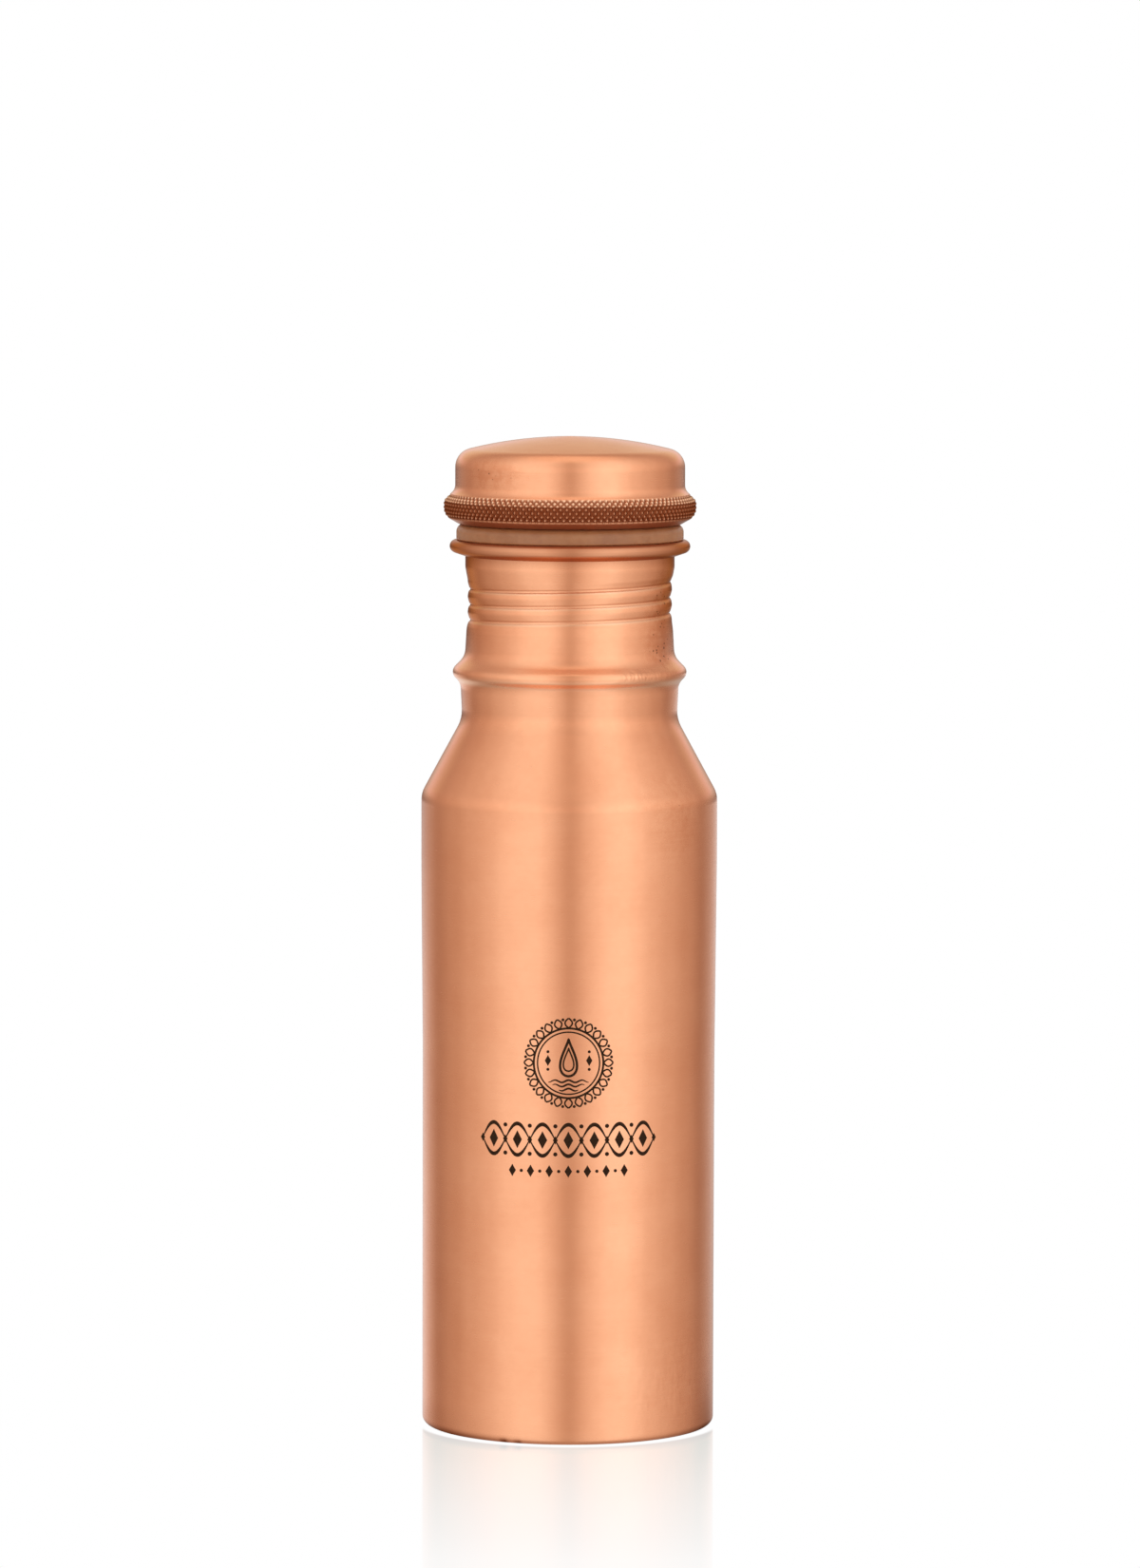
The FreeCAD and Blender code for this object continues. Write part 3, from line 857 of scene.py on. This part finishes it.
# The backdrop behind the bottle: colours by the sine of the angle above the horizon. A white
# floor runs back to a dark horizon, nearer on the left, and it pales again higher up.
BACKDROP_LEFT = [
    (-0.14, (0.88, 0.88, 0.88)), (-0.11, (0.80, 0.80, 0.80)), (-0.085, (0.55, 0.50, 0.47)),
    (-0.072, (0.10, 0.055, 0.04)),
]
BACKDROP_RIGHT = [
    (-0.17, (0.48, 0.47, 0.46)), (-0.12, (0.66, 0.66, 0.65)), (-0.085, (1.00, 1.00, 1.00)),
    (-0.075, (0.70, 0.66, 0.63)), (-0.068, (0.10, 0.055, 0.04)),
]
MIRRORED = (0.90, 0.80, 0.80)   # the part of the backdrop that the floor mirrors
BACKDROP_TOP = [
    (-0.045, (0.16, 0.10, 0.07)), (-0.01, (0.42, 0.34, 0.29)), (0.09, (0.62, 0.60, 0.52)),
    (0.13, MIRRORED), (0.20, MIRRORED), (0.27, (0.83, 0.81, 0.63)), (0.60, (0.82, 0.80, 0.64)),
    (0.77, (0.96, 0.93, 0.77)),
]
BACKDROP_SPAN = (-0.2, 0.8)
BRIGHTEST = 1.6                 # level of a stop that is full white
# Shares of red, of green and of blue at three levels. Dim light is warm and bright light is cool,
# so that the highlights on the copper come out pale.
LEVELS = (0.45, 0.70, 1.25)
TINTS = ((1.02, 1.0, 0.94), (0.84, 0.98, 1.09), (0.74, 0.96, 1.19))


def light_studio():
    """The studio as a world shader: soft boxes in front, the backdrop behind, white to the camera."""
    world = bpy.data.worlds.new("studio")
    world.use_nodes = True
    bpy.context.scene.world = world
    graph = Graph(world.node_tree)
    toward = graph.add("ShaderNodeTexCoord", {}).outputs["Generated"]
    parts = graph.add("ShaderNodeSeparateXYZ", {0: toward}).outputs
    turn = graph.math("ARCTAN2", parts[0], graph.math("MULTIPLY", parts[1], -1.0))
    degrees = graph.math("MULTIPLY", turn, 180 / math.pi)
    stops = []
    for place, level in STUDIO:
        tint = [np.interp(level, LEVELS, shares) for shares in TINTS]
        stops.append((place, [level * share / BRIGHTEST for share in tint]))
    lean = graph.spread(parts[2], 0.05, 0.78, 1.0, 0.76)
    around = graph.ramp(graph.math("MULTIPLY", degrees, lean), (-180, 180), stops)
    scaled = graph.add("ShaderNodeVectorMath", {0: around}, operation="SCALE")
    rise = graph.spread(parts[2], -0.16, 0.10, 0.93, 1.13)
    rise = graph.math("MULTIPLY", rise, graph.spread(parts[2], 0.10, 0.70, 1.0, 0.87))
    graph.tree.links.new(graph.math("MULTIPLY", rise, BRIGHTEST), scaled.inputs["Scale"])
    backs = []
    for side in (BACKDROP_LEFT, BACKDROP_RIGHT):
        backs.append(graph.ramp(parts[2], BACKDROP_SPAN, side + BACKDROP_TOP))
    backdrop = graph.mix(graph.spread(parts[0], -0.1, 0.1), *backs)
    level = graph.mix(graph.spread(parts[1], 0.60, 0.90), scaled.outputs[0], backdrop)
    above = graph.spread(parts[2], 0.80, 1.0, smooth=True)
    below = graph.spread(parts[2], -0.75, -1.0, smooth=True)
    level = graph.mix(above, level, (1.05, 1.03, 0.98, 1))
    level = graph.mix(below, level, (0.50, 0.46, 0.43, 1))
    seen = graph.add("ShaderNodeLightPath", {}).outputs["Is Camera Ray"]
    level = graph.mix(seen, level, (1, 1, 1, 1))
    back = graph.add("ShaderNodeBackground", {"Color": level, "Strength": 1.0})
    graph.add("ShaderNodeOutputWorld", {"Surface": back.outputs[0]})


def lay_floor():
    """A white floor, polished enough to mirror the foot of the bottle softly, less so farther out."""
    half = 3.0
    mesh = bpy.data.meshes.new("floor")
    corners = [(-half, -half, 0), (half, -half, 0), (half, half, 0), (-half, half, 0)]
    mesh.from_pydata(corners, [], [(0, 1, 2, 3)])
    floor = bpy.data.objects.new("floor", mesh)
    floor.location.z = cad_low.z - 0.1 * MM
    bpy.context.scene.collection.objects.link(floor)
    material = bpy.data.materials.new("white_floor")
    material.use_nodes = True
    graph = Graph(material.node_tree)
    place = graph.add("ShaderNodeTexCoord", {}).outputs["Object"]
    distance = graph.add("ShaderNodeVectorMath", {0: place}, operation="LENGTH").outputs["Value"]
    share = graph.spread(distance, 0.0375, 0.182, 0.42, 0.13)
    share = graph.math("MULTIPLY", share, graph.spread(distance, 0.150, 0.300, 1.0, 0.0, smooth=True))
    share = graph.math("MULTIPLY", share, graph.spread(distance, 0.0358, 0.0370))
    slant = graph.add("ShaderNodeFresnel", {"IOR": 1.45}).outputs[0]
    steep = graph.math("MULTIPLY", slant, 2.5)
    gloss = graph.math("MINIMUM", steep, graph.spread(slant, 0.44, 0.62, 1.0, 0.15))
    share = graph.math("MULTIPLY", share, gloss)
    redness = graph.spread(distance, 0.0365, 0.0430, 0.85, 1.20)
    tint = graph.add("ShaderNodeCombineXYZ", {0: redness, 1: 0.98, 2: 1.0}).outputs[0]
    mirrored = graph.add("ShaderNodeVectorMath", {0: tint}, operation="SCALE")
    graph.tree.links.new(share, mirrored.inputs["Scale"])
    rest = graph.add(
        "ShaderNodeVectorMath",
        {0: mirrored.outputs[0], 1: [-level for level in MIRRORED], 2: (1, 1, 1)},
        operation="MULTIPLY_ADD",
    )
    white = graph.add("ShaderNodeEmission", {"Color": rest.outputs[0], "Strength": 1.0})
    mirror = graph.add("ShaderNodeBsdfGlossy", {"Color": mirrored.outputs[0], "Roughness": 0.05})
    both = graph.add("ShaderNodeAddShader", {0: white.outputs[0], 1: mirror.outputs[0]})
    graph.add("ShaderNodeOutputMaterial", {"Surface": both.outputs[0]})
    mesh.materials.append(material)
    floor.visible_diffuse = False
    floor.visible_glossy = False
    floor.visible_transmission = False
    floor.visible_shadow = False


CAMERA_PLACE = (0.00016, -1.955, 0.3291)    # metres
CAMERA_DOWN = 5.1               # degrees below level
CAMERA_ROLL = 0.155             # degrees
LENS = 187.85                   # focal length in millimetres


def place_camera():
    """A long lens from a little above the bottle, tilted down toward it."""
    camera = bpy.data.objects.new("camera", bpy.data.cameras.new("camera"))
    camera.data.lens = LENS
    camera.data.sensor_width = 36
    camera.data.clip_end = 50
    camera.data.dof.use_dof = False
    camera.location = CAMERA_PLACE
    tilt = Quaternion((1, 0, 0), math.radians(90 - CAMERA_DOWN))
    roll = Quaternion((0, 0, 1), math.radians(CAMERA_ROLL))
    camera.rotation_mode = "QUATERNION"
    camera.rotation_quaternion = tilt @ roll
    bpy.context.scene.collection.objects.link(camera)
    bpy.context.scene.camera = camera
    bpy.context.scene.view_settings.view_transform = "Standard"


# ---------------------------------------------------------------- assembly

satin = copper("satin_copper", (0.960, 0.410, 0.215, 1), (0.860, 0.325, 0.158, 1), 0.25)
plain = copper("plain_copper", (0.900, 0.370, 0.190, 1), (0.740, 0.280, 0.135, 1), 0.33)
PIECES = [
    (make_bottle(satin), "bottle_body", "satin_copper"),
    (make_pan(plain), "base_pan", "plain_copper"),
    (make_seam(solder("tin_solder")), "base_solder_seam", "tin_solder"),
    (make_cap(satin), "cap_shell", "satin_copper"),
    (make_plug(plain), "cap_plug", "plain_copper"),
    (make_ring(silicone("milky_silicone")), "cap_gasket", "silicone"),
]
for piece, node, slot in PIECES:
    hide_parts(node)
make_ornament(brown_ink("brown_ink"))

light_studio()
lay_floor()
place_camera()
